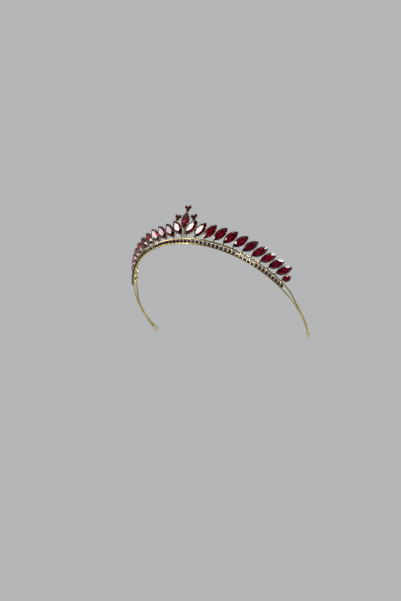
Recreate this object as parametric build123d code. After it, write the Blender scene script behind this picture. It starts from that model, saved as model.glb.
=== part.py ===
"""A crown worn as a hair band: two gold wires bent round the head, a chain of small round stones
along the lower wire, and a fan of claw-set navette stones standing on the upper wire.

The crown stands on its lower wire: Z is up, the centre front faces -Y and the open ends face +Y.
The right half (+X) is modelled and mirrored. Distances along the band are arc lengths in
millimetres from the centre front, and "out" is the distance outwards from the band line.
"""
from build123d import *
from math import atan2, cos, degrees, radians, sin, sqrt, tan
import os

# Band line, seen from above: a front arc and a wider side arc on each side.
FRONT_RADIUS = 76.0
FRONT_ANGLE = 50.0        # from the centre front to where the side arc takes over
SIDE_RADIUS = 104.0
SIDE_ANGLE = 50.0         # from there to the end of the band
LOWER_WIRE = 1.3          # wire diameters
UPPER_WIRE = 1.5
UPPER_HEIGHT = 6.1        # axis of the upper wire above the table, along the stones
DROP = (69.0, 85.0)       # headings between which the upper wire runs down on to the lower
POST_WIRE = 0.9           # short posts that tie the two wires together

# Clearances
SOLDER_GAP = 0.03         # between soldered pieces
STONE_GAP = 0.04          # between a stone and its setting

# Eyes at the band's ends, for pins or a ribbon
EYE_WIRE = 1.0
EYE_LENGTH = 9.0          # outer size along the band
EYE_HEIGHT = 4.2          # outer size upwards
COLLAR_LENGTH = 2.2       # solder collar between the wires and the eye
COLLAR_WIDTH = 1.9
COLLAR_HEIGHT = 3.1

# Stones: navette and oval are length by width, round ones are a diameter.
NAVETTE = (16.0, 7.5)
OVAL = (8.0, 6.0)
CHAIN_STONE = 3.0
TREFOIL_STONE = 3.0
GIRDLE = 0.35             # height of a large stone's edge
CROWN = 1.2               # from the top of the edge to the table
PAVILION = 2.9            # from the edge down to the pointed back
TABLE_SHARE = 0.6         # table and culet are this share of the outline
CULET_SHARE = 0.12
ARC_FACETS = 8            # facets on each long side of a navette
ROUND_FACETS = 8

# Claw settings of the large stones: a wall under the stone's edge, and claws that hold it down.
SETTING_WALL = 0.26
SETTING_INSET = 0.06      # the wall stands this far inside the stone's edge
SETTING_DEPTH = 3.2       # from the edge of the stone to the open back
SETTING_TAPER = 17.0      # the wall draws in towards the open back
CLAW_WIDTH = 0.9
CLAW_THICKNESS = 0.3
CLAW_PROUD = 0.16         # how far the claw's foot stands out of the wall
CLAW_FOOT = 1.2           # how far the claw runs down the wall
CLAW_REACH = 0.6          # how far it bends over the stone
CLAW_SHARE = 0.25         # claws stand this share of the length from each tip
PEG_WIRE = 1.0            # peg between a setting and the upper wire
PEG_DEPTH = 1.5           # where the peg joins the setting, behind the stone's edge
PEG_BITE = 0.25           # how far it runs into the wall

# The fan: equal navettes along each side, then one small oval.
FAN_COUNT = 10
FAN_START = 9.9           # foot of the first navette
FAN_PITCH = 8.55
FAN_OUT = 1.75            # foot of a stone, outwards from the band line
FAN_HEIGHT = 7.1          # foot of a stone above the table
FAN_LEAN = 35.0           # away from the centre, in the plane of the stone
FAN_FLARE = (28.5, 32.5)  # outwards, at the first stone and at the last

# Centre motif: an upright navette between two leaning ones, and three trefoils of round stones
CENTRE_OUT = 6.3
CENTRE_HEIGHT = 12.0
CENTRE_FLARE = 20.0
FLANK_START = 1.7
FLANK_OUT = 3.3
FLANK_HEIGHT = 7.9
FLANK_LEAN = 38.0
FLANK_FLARE = 24.0
TREFOIL_RADIUS = 1.95     # from the middle of a trefoil to the middle of its stones
SIDE_TREFOIL = (7.9, 9.2, 22.4)   # middle of a side trefoil: right, out, up
SIDE_TREFOIL_TURN = 10.0

# Round stones sit in cups with four claws.
CUP_WALL = 0.16
CUP_INSET = 0.03          # the cup's wall stands this far inside the stone's edge
CUP_SEAT = 1.0            # height of the stone's edge above the back of the cup
ROUND_GIRDLE = 0.2
ROUND_CROWN = 0.55
ROUND_PAVILION = 0.8
ROUND_CLAW = 0.5
ROUND_CLAW_FOOT = 0.4     # how far a claw runs down the cup
ROUND_CLAW_REACH = 0.3
LINK_WIRE = 0.5           # link between two cups of the chain

# Chain on the front of the lower wire
CHAIN_PITCH = 3.6
CHAIN_COUNT = 27          # cups on each side of the middle one
CHAIN_LIFT = 0.25         # lowest point of the stones above the table


def band(arc):
    """Plan position and heading, in radians, of the band line."""
    front = radians(FRONT_ANGLE)
    turn = arc / FRONT_RADIUS
    if turn <= front:
        return FRONT_RADIUS * sin(turn), FRONT_RADIUS * (1 - cos(turn)), turn
    turn = front + (arc - FRONT_RADIUS * front) / SIDE_RADIUS
    x = FRONT_RADIUS * sin(front) + SIDE_RADIUS * (sin(turn) - sin(front))
    y = FRONT_RADIUS * (1 - cos(front)) + SIDE_RADIUS * (cos(front) - cos(turn))
    return x, y, turn


def arc_at(turn):
    """Arc length at which the band line has turned by this many degrees."""
    front = min(turn, FRONT_ANGLE)
    return radians(front) * FRONT_RADIUS + radians(turn - front) * SIDE_RADIUS


def directions(arc):
    """Unit vectors along the band and outwards from it."""
    turn = band(arc)[2]
    return Vector(cos(turn), sin(turn), 0), Vector(sin(turn), -cos(turn), 0)


def place(arc, out, height):
    """A point beside the band line."""
    x, y, _ = band(arc)
    return Vector(x, y, height) + directions(arc)[1] * out


def stone_plane(origin, arc, lean, flare):
    """Frame of a stone: X across it, Y from its foot to its tip, Z out of its face."""
    along, outwards = directions(arc)
    lean, flare = radians(lean), radians(flare)
    rise = Vector(0, 0, 1) * cos(flare) + outwards * sin(flare)
    across = along * cos(lean) - rise * sin(lean)
    face = outwards * cos(flare) - Vector(0, 0, 1) * sin(flare)
    return Plane(origin=origin, x_dir=across, z_dir=face)


def rod(start, end, diameter):
    """A straight wire between two points."""
    span = end - start
    section = Plane(origin=start, z_dir=span) * Circle(diameter / 2)
    return extrude(section, amount=span.length)


def both_sides(solid):
    """The solid and its mirror image, as one."""
    return solid + mirror(solid, about=Plane.YZ)


# Band

def level_path(height, turn):
    """Right half of the band line at one height, from the centre front to a heading."""
    return [CenterArc((0, FRONT_RADIUS, height), FRONT_RADIUS, -90, FRONT_ANGLE),
            side_arc(height, FRONT_ANGLE, turn)]


def side_arc(height, start, end):
    """The side arc at one height, between two headings."""
    front = radians(FRONT_ANGLE)
    centre = ((FRONT_RADIUS - SIDE_RADIUS) * sin(front),
              FRONT_RADIUS * (1 - cos(front)) + SIDE_RADIUS * cos(front), height)
    return CenterArc(centre, SIDE_RADIUS, start - 90, end - start)


def swept_wire(edges, height, diameter):
    """Both halves of a band wire, cut off square at the band's ends."""
    section = Plane(origin=(0, 0, height), z_dir=(1, 0, 0)) * Circle(diameter / 2)
    wire = sweep(section, path=Wire(edges))
    end = Plane(origin=place(band_length() - EYE_WIRE, 0, 0), z_dir=directions(band_length())[0])
    return both_sides(split(wire, bisect_by=end, keep=Keep.BOTTOM))


def band_length():
    return arc_at(FRONT_ANGLE + SIDE_ANGLE)


def lower_band_wire():
    height = LOWER_WIRE / 2
    return swept_wire(level_path(height, FRONT_ANGLE + SIDE_ANGLE), height, LOWER_WIRE)


def upper_end_height():
    """Axis of the upper wire where it lies on the lower one."""
    return LOWER_WIRE + SOLDER_GAP + UPPER_WIRE / 2


def upper_band_wire():
    """Level along the stones, down in two tilted arcs, then along the top of the lower wire."""
    start, end = DROP
    low = upper_end_height()
    half_drop = (UPPER_HEIGHT - low) / 2
    meeting_out = sqrt(SIDE_RADIUS ** 2 + half_drop ** 2) - SIDE_RADIUS   # both arcs are smooth here
    meeting = place(arc_at((start + end) / 2), meeting_out, low + half_drop)
    first = TangentArc(place(arc_at(start), 0, UPPER_HEIGHT), meeting,
                       tangent=directions(arc_at(start))[0])
    second = TangentArc(meeting, place(arc_at(end), 0, low), tangent=first % 1)
    edges = level_path(UPPER_HEIGHT, start) + [first, second]
    edges.append(side_arc(low, end, FRONT_ANGLE + SIDE_ANGLE))
    return swept_wire(edges, UPPER_HEIGHT, UPPER_WIRE)


def end_eye():
    """The eye at the right end with the solder collar that joins it to both wires."""
    start = place(band_length() - EYE_WIRE, 0, 0)
    along, outwards = directions(band_length())
    root = Plane(origin=start + along * SOLDER_GAP + Vector(0, 0, COLLAR_HEIGHT / 2),
                 x_dir=outwards, z_dir=along)
    bar = RectangleRounded(COLLAR_WIDTH, COLLAR_HEIGHT, COLLAR_WIDTH / 2 - SOLDER_GAP)
    collar = extrude(root * bar, amount=COLLAR_LENGTH)
    half_length = (EYE_LENGTH - EYE_WIRE) / 2
    half_height = (EYE_HEIGHT - EYE_WIRE) / 2
    middle = start + along * (COLLAR_LENGTH + half_length - EYE_WIRE) + Vector(0, 0, EYE_HEIGHT / 2)
    face = Plane(origin=middle, x_dir=along, z_dir=outwards)
    straight = half_length - half_height
    outline = Wire([Line((-straight, half_height), (straight, half_height)),
                    ThreePointArc((straight, half_height), (half_length, 0), (straight, -half_height)),
                    Line((straight, -half_height), (-straight, -half_height)),
                    ThreePointArc((-straight, -half_height), (-half_length, 0), (-straight, half_height))])
    section = Plane(origin=(0, half_height, 0), z_dir=(1, 0, 0)) * Circle(EYE_WIRE / 2)
    eye = sweep(section, path=outline)
    return collar + face.location * eye


def band_posts():
    """Posts between the two wires, one under each peg of the fan."""
    bottom = LOWER_WIRE + SOLDER_GAP
    top = UPPER_HEIGHT - UPPER_WIRE / 2 - SOLDER_GAP
    posts = []
    for index in range(FAN_COUNT + 1):
        arc = FAN_START + index * FAN_PITCH
        posts.append(rod(place(arc, 0, bottom), place(arc, 0, top), POST_WIRE))
    return Compound(children=posts + [mirror(post, about=Plane.YZ) for post in posts])


# Large stones

def navette_arc(length, width):
    """Radius of each long side, and half the angle that it spans."""
    radius = (length ** 2 + width ** 2) / (4 * width)
    return radius, atan2(length / 2, radius - width / 2)


def navette_points(length, width):
    """Facet corners round a navette whose middle is at the origin."""
    radius, half = navette_arc(length, width)
    angles = [half * (2 * step / ARC_FACETS - 1) for step in range(ARC_FACETS)]
    right = [(radius * cos(a) - radius + width / 2, radius * sin(a)) for a in angles]
    return right + [(-x, -y) for x, y in right]


def oval_points(length, width):
    """Facet corners round an oval whose middle is at the origin."""
    angles = [radians(360 * step / (2 * ARC_FACETS)) for step in range(2 * ARC_FACETS)]
    return [(width / 2 * cos(a), length / 2 * sin(a)) for a in angles]


def half_length(shape, grow):
    """Half the length of a stone's outline, moved outwards by the same distance all round."""
    length, width = stone_size(shape)
    if shape == "oval":
        return length / 2 + grow
    radius, _ = navette_arc(length, width)
    return sqrt((radius + grow) ** 2 - (radius - width / 2) ** 2)


def outline_face(shape, grow):
    """A stone's outline with true arcs, moved outwards by the same distance all round."""
    side, tip = stone_size(shape)[1] / 2 + grow, half_length(shape, grow)
    if shape == "oval":
        return Rot(0, 0, 90) * Ellipse(tip, side).face()
    return make_face(Wire([ThreePointArc((0, -tip), (side, 0), (0, tip)),
                           ThreePointArc((0, tip), (-side, 0), (0, -tip))]))


def cut_stone(points, girdle, crown, pavilion):
    """A faceted stone: table, crown, edge, pavilion and culet, with its edge's foot at Z 0."""
    def ring(share, height):
        return Pos(0, 0, height) * make_face(Polyline([(x * share, y * share) for x, y in points],
                                                      close=True))
    top = loft([ring(1, girdle), ring(TABLE_SHARE, girdle + crown)], ruled=True)
    edge = extrude(ring(1, 0), amount=girdle)
    back = loft([ring(CULET_SHARE, -pavilion), ring(1, 0)], ruled=True)
    return back + edge + top


def stone_size(shape):
    return NAVETTE if shape == "navette" else OVAL


def large_stone(shape):
    length, width = stone_size(shape)
    corners = navette_points if shape == "navette" else oval_points
    stone = cut_stone(corners(length, width), GIRDLE, CROWN, PAVILION)
    return Pos(0, length / 2, 0) * stone


def claw_places(shape):
    """Points on the stone's edge with the outward heading there, in radians, for four claws."""
    length, width = stone_size(shape)
    reach = length * (0.5 - CLAW_SHARE)
    if shape == "navette":
        radius, _ = navette_arc(length, width)
        heading = atan2(reach, sqrt(radius ** 2 - reach ** 2))
        x = radius * cos(heading) - radius + width / 2
    else:
        x = width / 2 * sqrt(1 - (2 * reach / length) ** 2)
        heading = atan2(reach / (length / 2) ** 2, x / (width / 2) ** 2)
    corners = ((1, 1), (1, -1), (-1, 1), (-1, -1))
    return [(sx * x, sy * reach, atan2(sy * sin(heading), sx * cos(heading))) for sx, sy in corners]


def seat_depth(shape):
    """How far behind the stone's edge its pavilion is narrow enough for the wall."""
    slope = PAVILION / (1 - CULET_SHARE) / (stone_size(shape)[1] / 2)
    return (SETTING_INSET + SETTING_WALL + STONE_GAP) * slope


def wall_out(shape, depth):
    """Outer surface of the setting's wall, outwards from the stone's edge, at a depth behind it."""
    return -SETTING_INSET - (depth - seat_depth(shape)) * tan(radians(SETTING_TAPER))


def claw(shape):
    """One claw in the XZ plane: X outwards from the stone's edge, Z out of its face."""
    seat = seat_depth(shape)
    clear = 2 * STONE_GAP
    bend = GIRDLE + clear
    tip = bend + (CLAW_REACH + clear) * CROWN / (1 - TABLE_SHARE) / (stone_size(shape)[1] / 2)
    foot, root = wall_out(shape, CLAW_FOOT), wall_out(shape, seat)
    outline = Polyline((foot - SETTING_WALL / 2, -CLAW_FOOT), (root - SETTING_WALL / 2, -seat),
                       (clear, 0), (clear, bend), (-CLAW_REACH, tip),
                       (-CLAW_REACH, tip + CLAW_THICKNESS / 2), (clear, bend + CLAW_THICKNESS),
                       (clear + CLAW_THICKNESS, bend), (clear + CLAW_THICKNESS, 0),
                       (foot + CLAW_PROUD, -CLAW_FOOT), close=True)
    return extrude(Plane.XZ * make_face(outline), amount=CLAW_WIDTH / 2, both=True)


def claw_setting(shape):
    """An open-backed wall under the stone's edge with four claws, its foot at the origin."""
    seat = seat_depth(shape)

    def shell(grow):
        rim, back = wall_out(shape, seat) + grow, wall_out(shape, SETTING_DEPTH) + grow
        return loft([Pos(0, 0, -SETTING_DEPTH) * outline_face(shape, back),
                     Pos(0, 0, -seat) * outline_face(shape, rim)], ruled=True)

    setting = shell(0) - shell(-SETTING_WALL)
    for x, y, heading in claw_places(shape):
        setting += Pos(x, y, 0) * Rot(0, 0, degrees(heading)) * claw(shape)
    return Pos(0, stone_size(shape)[0] / 2, 0) * setting


def with_peg(setting, shape, plane, arc):
    """A setting in its place with a peg from its foot to the nearest point of the upper wire."""
    foot = stone_size(shape)[0] / 2 - half_length(shape, wall_out(shape, PEG_DEPTH))
    joint = plane.from_local_coords((0, foot, -PEG_DEPTH))
    for _ in range(2):
        arc += (joint - place(arc, 0, UPPER_HEIGHT)).dot(directions(arc)[0])
    axis = place(arc, 0, UPPER_HEIGHT)
    span = joint - axis
    start = axis + span.normalized() * (UPPER_WIRE / 2 + SOLDER_GAP)
    end = axis + span.normalized() * (span.length + PEG_BITE)
    return plane.location * setting + rod(start, end, PEG_WIRE)


def fan_plane(index):
    arc = FAN_START + index * FAN_PITCH
    share = index / FAN_COUNT
    flare = FAN_FLARE[0] * (1 - share) + FAN_FLARE[1] * share
    return arc, stone_plane(place(arc, FAN_OUT, FAN_HEIGHT), arc, FAN_LEAN, flare)


def flank_plane():
    origin = place(FLANK_START, FLANK_OUT, FLANK_HEIGHT)
    return stone_plane(origin, 0, FLANK_LEAN, FLANK_FLARE)


def centre_plane():
    return stone_plane(place(0, CENTRE_OUT, CENTRE_HEIGHT), 0, 0, CENTRE_FLARE)


# Round stones

def round_stone(diameter):
    """A small faceted stone with its edge at the height of the cup's seat."""
    points = [(diameter / 2 * cos(radians(360 * step / ROUND_FACETS)),
               diameter / 2 * sin(radians(360 * step / ROUND_FACETS))) for step in range(ROUND_FACETS)]
    return Pos(0, 0, CUP_SEAT) * cut_stone(points, ROUND_GIRDLE, ROUND_CROWN, ROUND_PAVILION)


def round_cup(diameter):
    """A cup with a cone inside and four claws over the stone; its back is at Z 0."""
    edge = diameter / 2
    outer = cup_radius(diameter)
    inner = outer - CUP_WALL
    clear = edge + STONE_GAP
    rim = CUP_SEAT - (clear - inner) * ROUND_PAVILION / (1 - CULET_SHARE) / edge
    floor = CUP_SEAT - ROUND_PAVILION - STONE_GAP
    profile = Polyline((0, 0), (outer, 0), (outer, rim), (inner, rim),
                       (CULET_SHARE * edge + STONE_GAP, floor), (0, floor), close=True)
    cup = revolve(Plane.XZ * make_face(profile), axis=Axis.Z)
    top = CUP_SEAT + ROUND_GIRDLE + 2 * STONE_GAP
    tip = top + ROUND_CLAW_REACH * ROUND_CROWN / (1 - TABLE_SHARE) / edge
    low, buried = rim - ROUND_CLAW_FOOT, outer - CUP_WALL / 2
    hook = Polyline((buried, low), (buried, rim), (clear, CUP_SEAT), (clear, top),
                    (clear - ROUND_CLAW_REACH, tip), (clear - ROUND_CLAW_REACH, tip + CUP_WALL),
                    (clear + CUP_WALL, top), (clear + CUP_WALL, low), close=True)
    hook = extrude(Plane.XZ * make_face(hook), amount=ROUND_CLAW / 2, both=True)
    for quarter in range(4):
        cup += Rot(0, 0, 45 + 90 * quarter) * hook
    return cup


def chain_plane(index):
    """Back of one cup, against the front of the lower wire: Y up, Z outwards."""
    arc = index * CHAIN_PITCH
    along, outwards = directions(arc)
    height = CHAIN_LIFT + CHAIN_STONE / 2
    return Plane(origin=place(arc, LOWER_WIRE / 2 + SOLDER_GAP, height), x_dir=along, z_dir=outwards)


def cup_radius(diameter):
    return diameter / 2 - CUP_INSET


def chain_units(unit, link_diameter=0):
    """The unit at every place of the chain, with a link to the next place where one is asked for."""
    units = []
    for index in range(CHAIN_COUNT + 1):
        solid = chain_plane(index).location * unit
        if link_diameter and index < CHAIN_COUNT:
            level = Vector(0, 0, link_diameter / 2)
            here, there = chain_plane(index), chain_plane(index + 1)
            start = here.from_local_coords(Vector(cup_radius(CHAIN_STONE) - CUP_WALL, 0, 0) + level)
            end = there.from_local_coords(Vector(-cup_radius(CHAIN_STONE) - SOLDER_GAP, 0, 0) + level)
            solid += rod(start, end, link_diameter)
        units.append(solid)
    if link_diameter:
        first = units[0]
        units[0] = both_sides(first)
    return Compound(children=units + [mirror(solid, about=Plane.YZ) for solid in units[1:]])


# Trefoils

def trefoil_planes():
    """Frames of the top trefoil and of the right one: back of the cups, stones facing along Z."""
    centre = centre_plane()
    rise = NAVETTE[0] + SOLDER_GAP + TREFOIL_STONE / 2 + TREFOIL_RADIUS
    top = Plane(origin=centre.from_local_coords((0, rise, -CUP_SEAT)),
                x_dir=centre.x_dir, z_dir=centre.z_dir)
    right, out, up = SIDE_TREFOIL
    side = Plane(origin=(right, -out, up), x_dir=centre.x_dir, z_dir=centre.z_dir)
    return top, side.rotated((0, 0, SIDE_TREFOIL_TURN))


def trefoil(unit):
    """Three units, two side by side above the third."""
    return [Rot(0, 0, heading) * Pos(TREFOIL_RADIUS, 0, 0) * unit for heading in (30, 150, 270)]


def trefoil_casting():
    """Three cups joined by a round hub behind them."""
    casting = Cylinder(TREFOIL_RADIUS, CUP_WALL, align=(Align.CENTER, Align.CENTER, Align.MIN))
    for cup in trefoil(round_cup(TREFOIL_STONE)):
        casting += cup
    return casting


def on_every_trefoil(solids):
    """The solids on the top trefoil and on both side ones."""
    top, side = trefoil_planes()
    right = [side.location * solid for solid in solids]
    left = [mirror(solid, about=Plane.YZ) for solid in right]
    return Compound(children=[top.location * solid for solid in solids] + right + left)


# Assembly

def crown():
    """Every node by its name."""
    nodes = {"lower_band_wire": lower_band_wire(), "upper_band_wire": upper_band_wire(),
             "band_posts": band_posts(),
             "chain_cups": chain_units(round_cup(CHAIN_STONE), LINK_WIRE),
             "chain_stones": chain_units(round_stone(CHAIN_STONE)),
             "trefoil_cups": on_every_trefoil([trefoil_casting()]),
             "trefoil_stones": on_every_trefoil(trefoil(round_stone(TREFOIL_STONE)))}
    stones = {shape: large_stone(shape) for shape in ("navette", "oval")}
    settings = {shape: claw_setting(shape) for shape in ("navette", "oval")}
    centre = centre_plane()
    nodes["stone_centre"] = centre.location * stones["navette"]
    nodes["setting_centre"] = with_peg(settings["navette"], "navette", centre, 0)
    right = {"end_eye": end_eye()}
    places = [("flank", "navette", flank_plane(), FLANK_START)]
    for index in range(FAN_COUNT + 1):
        arc, plane = fan_plane(index)
        shape = "oval" if index == FAN_COUNT else "navette"
        places.append((f"{index + 1:02d}", shape, plane, arc))
    for name, shape, plane, arc in places:
        right["stone_" + name] = plane.location * stones[shape]
        right["setting_" + name] = with_peg(settings[shape], shape, plane, arc)
    for name, solid in right.items():
        nodes[name + "_right"] = solid
        nodes[name + "_left"] = mirror(solid, about=Plane.YZ)
    return nodes


def centred(nodes):
    """The nodes moved so that the middle of the crown's box lies over the origin."""
    boxes = [solid.bounding_box() for solid in nodes.values()]
    middle = (min(box.min.Y for box in boxes) + max(box.max.Y for box in boxes)) / 2
    return {name: Pos(0, -middle, 0) * solid for name, solid in nodes.items()}


def main():
    os.makedirs("parts", exist_ok=True)
    for name, solid in centred(crown()).items():
        export_step(solid, f"parts/{name}.step")


main()
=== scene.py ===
"""A crown worn as a hair band, in gold plate and garnet-red cut glass, laid out as an add-on.

Lengths are in metres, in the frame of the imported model: Z up, the centre front towards -Y and
the open ends towards +Y. Distances along the band are arc lengths from the centre front.
"""
from math import acos, atan2, cos, pi, radians, sin, sqrt

import bmesh
import bpy
import numpy as np
from bpy.props import FloatProperty, FloatVectorProperty, IntProperty, PointerProperty
from bpy.types import Operator, Panel, PropertyGroup
from mathutils import Matrix, Vector


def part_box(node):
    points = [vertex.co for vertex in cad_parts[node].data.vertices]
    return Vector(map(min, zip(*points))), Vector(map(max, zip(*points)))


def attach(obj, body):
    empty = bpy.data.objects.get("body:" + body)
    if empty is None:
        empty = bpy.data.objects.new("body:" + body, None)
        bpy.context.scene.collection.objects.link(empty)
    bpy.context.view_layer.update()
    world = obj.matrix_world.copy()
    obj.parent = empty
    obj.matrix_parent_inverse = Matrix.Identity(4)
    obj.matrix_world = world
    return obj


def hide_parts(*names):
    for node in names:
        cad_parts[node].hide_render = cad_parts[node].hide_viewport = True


bl_info = {
    "name": "Hair-Band Crown",
    "version": (1, 0, 0),
    "blender": (4, 5, 0),
    "location": "View3D > Sidebar > Crown",
    "description": "Builds a wire crown with claw-set navette stones round its packed model",
    "category": "Add Mesh",
}

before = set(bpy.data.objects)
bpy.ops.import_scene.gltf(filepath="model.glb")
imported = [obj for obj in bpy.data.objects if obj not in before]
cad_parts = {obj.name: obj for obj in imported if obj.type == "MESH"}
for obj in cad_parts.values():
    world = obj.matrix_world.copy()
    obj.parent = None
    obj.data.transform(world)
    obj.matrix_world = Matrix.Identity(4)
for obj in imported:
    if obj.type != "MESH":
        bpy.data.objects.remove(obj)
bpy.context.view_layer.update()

MM = 0.001
UP = np.array((0.0, 0.0, 1.0))
QUARTER = pi / 2

# Fineness of the surfaces
BAND_STEPS = 361          # points along a band wire
BAND_SIDES = 16           # points round it
SEARCH_STEPS = 6001       # points of the upper wire tried as a peg's foot
WALL_POINTS = 48          # points round a setting's wall
CUP_SIDES = 16
HUB_SIDES = 24
CHAIN_CORNERS = 8         # facet corners round a stone of the chain
TREFOIL_CORNERS = 16

# Shapes
CREASE = 35.0             # degrees from which an edge stays sharp
SAME_FACE = 0.9999        # cosine between normals that count as one flat face
NAVETTE_LEAST = 1.6       # a stone this much longer than wide is a navette
MIDDLE_RING = 0.58        # middle ring of crown corners: its height, as a share of the crown's
CLAW_FOOT_NARROW = 0.6    # claw widths, as shares: its foot, then its last four points
CLAW_TIP_WIDTHS = (1.1, 1.1, 0.95, 0.5)
PEG_SINK = 0.42           # start of a peg, in diameters of the upper wire from its axis
CUP_BACK = 0.85           # back of a cup, as a share of its radius
CUP_BEVEL = 0.4           # height of the bevel there, as a share of the cup's

# Tones of a stone's facets, which are painted light: lowest, highest. They stand in for the flashes
# and dark facets that light makes in cut glass, brightest on the table and darkest on the edge.
# Tones past nought and one are cut off there.
TABLE_TONES, STAR_TONES, KITE_TONES, HALF_TONES = (0.6, 1.0), (0.3, 0.9), (0.1, 0.7), (0.0, 0.35)
EDGE_TONES, BACK_TONES, KEEL_TONES = (0.0, 0.2), (-0.7, 1.5), (0.5, 1.0)
ROUND_TONES = (0.1, 0.9)

# Lamps: degrees left of the camera and above it, distance, width, height
LAMPS = {"window": (58, 31, 1.2, 0.54, 0.25), "doorway": (92, 20, 1.2, 0.7, 0.25),
         "ceiling": (-62, 46, 1.05, 0.3, 0.5)}
FLAG_LEFT, FLAG_RISE = (-60, 40), (-50, 50)   # degrees that the black card spans
FLAG_RADIUS = 1.1
FLAG_POINTS = 9           # points along each side of the card
FLOOR_RADIUS = 3.0
FLOOR_SIDES = 96

WIRE_LOW = np.array(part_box("lower_band_wire")[0])
LARGE_STONES = sorted(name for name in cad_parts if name.startswith("stone_"))


# Settings

def length(label, description, default):
    """A length property in metres."""
    return FloatProperty(name=label, description=description, default=default, min=0.0,
                         unit="LENGTH", precision=5)


def share(label, description, default):
    """A factor property between nought and one."""
    return FloatProperty(name=label, description=description, default=default, min=0.0, max=1.0,
                         subtype="FACTOR")


def angle(label, description, default):
    """An angle property, given in degrees."""
    return FloatProperty(name=label, description=description, default=radians(default),
                         subtype="ANGLE")


def colour(label, description, default):
    """A colour property, in linear light."""
    return FloatVectorProperty(name=label, description=description, default=default, size=3,
                               min=0.0, max=1.0, subtype="COLOR")


class CrownBand(PropertyGroup):
    """The two wires, their posts and their end eyes."""
    front_radius: length("Front radius", "Radius of the band across the front", 76.0 * MM)
    front_angle: angle("Front angle", "Turn of the front arc, each side of the centre", 50.0)
    side_radius: length("Side radius", "Radius of the band along each side", 104.0 * MM)
    side_angle: angle("Side angle", "Turn of each side arc", 50.0)
    lower_wire: length("Lower wire", "Diameter of the lower wire", 1.3 * MM)
    upper_wire: length("Upper wire", "Diameter of the upper wire", 1.5 * MM)
    upper_height: length("Upper height", "Axis of the upper wire above the table", 6.1 * MM)
    drop_start: angle("Drop start", "Heading where the upper wire starts to run down", 69.0)
    drop_end: angle("Drop end", "Heading where it lies on the lower wire", 85.0)
    solder: length("Solder", "Reach of the solder round a joint", 0.5 * MM)
    eye_wire: length("Eye wire", "Diameter of the wire of the eyes", 1.0 * MM)


class CrownStones(PropertyGroup):
    """Cut of the large stones."""
    girdle: length("Girdle", "Height of a large stone's edge", 0.35 * MM)
    crown: length("Crown height", "From the top of the edge to the table", 1.2 * MM)
    pavilion: length("Pavilion depth", "From the edge down to the keel", 2.9 * MM)
    table: share("Table", "Table as a share of the outline", 0.6)
    keel: share("Keel", "Keel as a share of the outline", 0.12)
    corners: IntProperty(name="Corners", description="Facet corners round a large stone",
                         default=16, min=8, max=32)
    trefoil_stone: length("Trefoil stone", "Diameter of a stone of a trefoil", 3.0 * MM)
    chain_stone: length("Chain stone", "Diameter of a stone of the chain", 3.0 * MM)
    round_girdle: length("Round girdle", "Height of a round stone's edge", 0.2 * MM)
    round_crown: length("Round crown", "Crown height of a round stone", 0.55 * MM)
    round_pavilion: length("Round pavilion", "Pavilion depth of a round stone", 0.8 * MM)


class CrownSettings(PropertyGroup):
    """Walls, claws, pegs and cups."""
    gap: length("Stone gap", "Clearance between a stone and its setting", 0.04 * MM)
    wall: length("Wall", "Thickness of a setting's wall", 0.26 * MM)
    inset: length("Inset", "The wall stands this far inside the stone's edge", 0.06 * MM)
    depth: length("Depth", "From the stone's edge to the open back", 3.2 * MM)
    taper: angle("Taper", "How much the wall draws in towards the back", 17.0)
    claw_width: length("Claw width", "Width of a claw at its foot", 0.9 * MM)
    claw_thickness: length("Claw thickness", "Thickness of a claw", 0.3 * MM)
    claw_foot: length("Claw foot", "How far a claw runs down the wall", 1.2 * MM)
    claw_proud: length("Claw proud", "How far a claw's foot stands out of the wall", 0.16 * MM)
    claw_reach: length("Claw reach", "How far a claw bends over the stone", 0.6 * MM)
    claw_share: share("Claw place", "Claws stand this share of the length from each tip", 0.25)
    peg_wire: length("Peg wire", "Diameter of the peg to the upper wire", 1.0 * MM)
    peg_depth: length("Peg depth", "Where the peg joins, behind the stone's edge", 1.5 * MM)
    cup_wall: length("Cup wall", "Thickness of a small cup", 0.16 * MM)
    cup_inset: length("Cup inset", "The cup stands this far inside the stone's edge", 0.03 * MM)
    cup_seat: length("Cup seat", "Height of a small stone's edge above the cup's back", 1.0 * MM)
    small_claw: length("Small claw", "Width of a cup's claw", 0.5 * MM)
    small_foot: length("Small claw foot", "How far a cup's claw runs down", 0.4 * MM)
    small_reach: length("Small claw reach", "How far a cup's claw bends over", 0.3 * MM)
    trefoil_radius: length("Trefoil radius", "From its middle to its stones' middles", 1.95 * MM)
    trefoil_right: length("Side trefoil right", "From the centre plane", 7.9 * MM)
    trefoil_out: length("Side trefoil out", "From the band line", 9.2 * MM)
    trefoil_up: length("Side trefoil up", "Above the table", 22.4 * MM)
    trefoil_turn: angle("Side trefoil turn", "Turn of a side trefoil about its face", 10.0)
    chain_pitch: length("Chain pitch", "From one cup to the next", 3.6 * MM)
    chain_count: IntProperty(name="Chain count", description="Cups on each side of the middle one",
                             default=27, min=1, max=60)
    chain_lift: length("Chain lift", "Lowest point of the stones above the table", 0.25 * MM)
    link_wire: length("Link wire", "Diameter of the links between cups", 0.5 * MM)


class CrownFinish(PropertyGroup):
    """Colours of the metal and the glass. The glass's two reds and the foil's dark are painted
    light, mixed facet by facet.
    """
    gold_light: colour("Light gold", "Gold where it is most polished", (0.86, 0.73, 0.37))
    gold_dark: colour("Dark gold", "Gold where the plate is duller", (0.48, 0.38, 0.15))
    # A lit and a shaded copy of the stones' red: painted highlight and painted shade.
    glass_painted_lit: colour("Light garnet", "Brightest red of the stones", (0.92, 0.012, 0.09))
    glass_painted_shade: colour("Dark garnet", "Deepest red of the stones", (0.11, 0.001, 0.008))
    foil_light: colour("Light foil", "Mirror on the back of the stones", (0.98, 0.88, 0.88))
    # The dark foil is painted shade: mirror facets darkened to stand for the dark reflections in
    # them.
    foil_painted_dark: colour("Dark foil", "Mirror where it has dulled", (0.10, 0.05, 0.06))


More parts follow.
